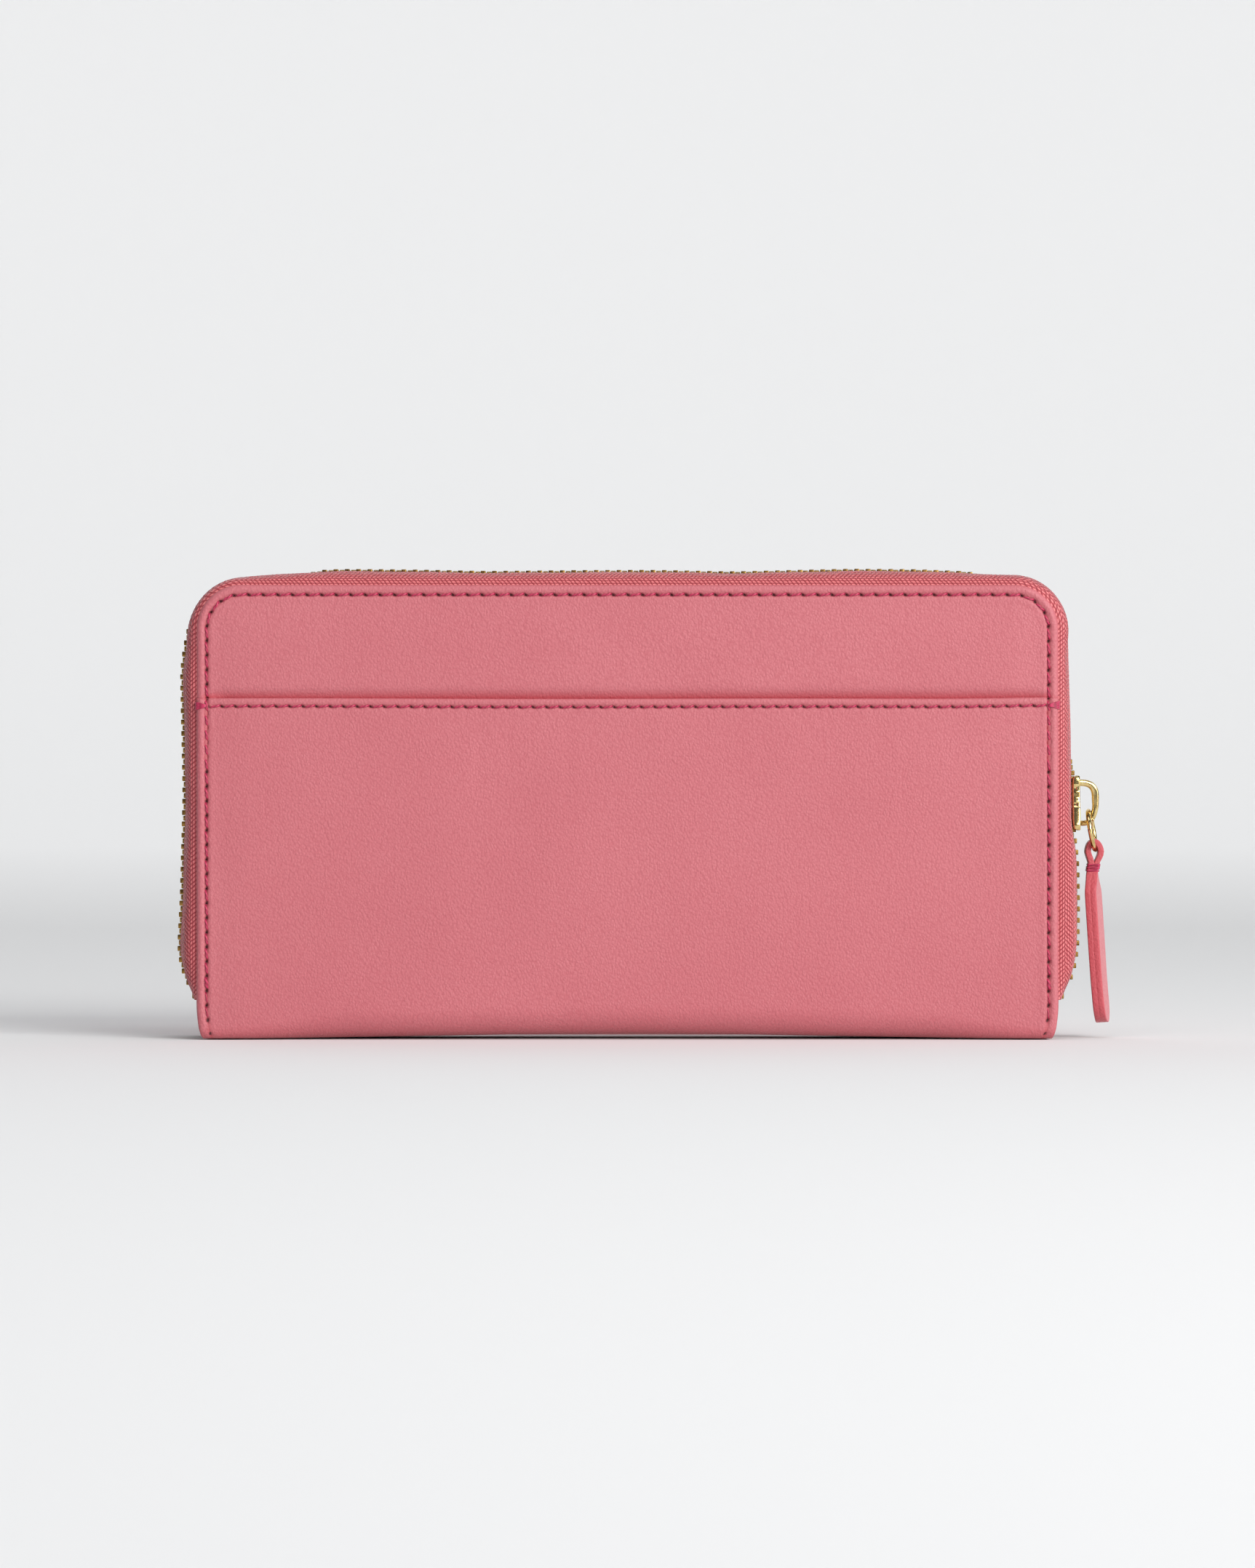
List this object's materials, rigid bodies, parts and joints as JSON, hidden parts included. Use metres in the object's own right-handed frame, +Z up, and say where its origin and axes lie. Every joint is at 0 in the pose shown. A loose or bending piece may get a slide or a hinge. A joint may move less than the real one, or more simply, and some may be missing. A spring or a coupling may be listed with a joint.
{
  "type": "zip around wallet",
  "caption": "Continental zip-around wallet in pink leather with a back slip pocket, card slots, a zipped coin pocket and a leather zip pull.",
  "frame": {"origin": "on the flat base of the spine, at mid length, in the middle plane of the main zip", "axes": "+X along the spine, +Z up the covers to the zip's top run, -Y out of the back cover"},
  "size_m": [0.2124, 0.0249, 0.1073],
  "materials": {
    "pink_leather": "smooth fine grain, satin",
    "gusset_leather": "thin, matte",
    "lining_fabric": "fine woven lining",
    "board": "grey-brown stiffener board",
    "zip_tape": "twill woven tape",
    "zip_brass": "light gold, polished tips",
    "polished_brass": "pale gold, polished",
    "thread": "crimson sewing thread"
  },
  "bodies": {
    "core": {"spine_leather": "pink_leather", "spine_board": "board", "coin_pocket_pouch": "lining_fabric", "coin_zip_tape_back": "zip_tape", "coin_zip_tape_front": "zip_tape", "coin_zip_teeth_back": "zip_brass", "coin_zip_teeth_front": "zip_brass", "coin_zip_stops": "zip_brass", "gusset_back_left": "gusset_leather", "gusset_back_right": "gusset_leather", "gusset_front_left": "gusset_leather", "gusset_front_right": "gusset_leather"},
    "back_cover": {"back_panel": "pink_leather", "slip_pocket_panel": "pink_leather", "back_board": "board", "back_lining": "lining_fabric", "back_bill_panel": "lining_fabric", "back_card_strip_1": "pink_leather", "back_card_strip_2": "pink_leather", "back_card_strip_3": "pink_leather", "back_zip_tape": "zip_tape", "back_zip_teeth": "zip_brass", "back_zip_stops": "zip_brass", "back_edge_stitching": "thread", "slip_pocket_stitching": "thread"},
    "front_cover": {"front_panel": "pink_leather", "front_board": "board", "front_lining": "lining_fabric", "front_bill_panel": "lining_fabric", "front_card_strip_1": "pink_leather", "front_card_strip_2": "pink_leather", "front_card_strip_3": "pink_leather", "front_zip_tape": "zip_tape", "front_zip_teeth": "zip_brass", "front_zip_stops": "zip_brass", "front_edge_stitching": "thread"},
    "slider": {"slider_body": "polished_brass", "slider_bridge": "polished_brass"},
    "pull_ring": {"pull_ring": "polished_brass"},
    "pull_tab": {"pull_tab_leather": "pink_leather", "pull_tab_bar_tack": "thread"},
    "coin_slider": {"coin_slider_body": "polished_brass", "coin_slider_bridge": "polished_brass"},
    "coin_pull": {"coin_pull_tab": "polished_brass"}
  },
  "joints": [
    {"name": "back_cover_hinge", "type": "hinge", "parent": "core", "child": "back_cover", "pos_m": [0, -0.0124, 0.007], "axis": [1, 0, 0], "range_deg": [0, 35], "deforming": ["gusset_back_left", "gusset_back_right", "back_zip_teeth", "front_zip_teeth", "back_zip_stops", "front_zip_stops"]},
    {"name": "front_cover_hinge", "type": "hinge", "parent": "core", "child": "front_cover", "pos_m": [0, 0.0111, 0.007], "axis": [-1, 0, 0], "range_deg": [0, 35], "deforming": ["gusset_front_left", "gusset_front_right", "back_zip_teeth", "front_zip_teeth", "back_zip_stops", "front_zip_stops"]},
    {"name": "slider_travel", "type": "slide", "parent": "back_cover", "child": "slider", "axis": [0, 0, 1], "range_m": [-0.036, 0.032], "deforming": ["back_zip_teeth", "front_zip_teeth", "back_zip_stops", "front_zip_stops"]},
    {"name": "ring_swing", "type": "hinge", "parent": "slider", "child": "pull_ring", "pos_m": [0.1052, 0, 0.05175], "axis": [0, -1, 0], "range_deg": [0, 95]},
    {"name": "tab_swing", "type": "hinge", "parent": "pull_ring", "child": "pull_tab", "pos_m": [0.10676, 0, 0.04289], "axis": [0, -1, 0], "range_deg": [0, 75]},
    {"name": "coin_slider_travel", "type": "slide", "parent": "core", "child": "coin_slider", "axis": [-1, 0, 0], "range_m": [0, 0.14], "deforming": ["coin_zip_teeth_back", "coin_zip_teeth_front"]},
    {"name": "coin_pull_lift", "type": "hinge", "parent": "coin_slider", "child": "coin_pull", "pos_m": [0.0686, 0, 0.0862], "axis": [0, 1, 0], "range_deg": [0, 160]}
  ]
}
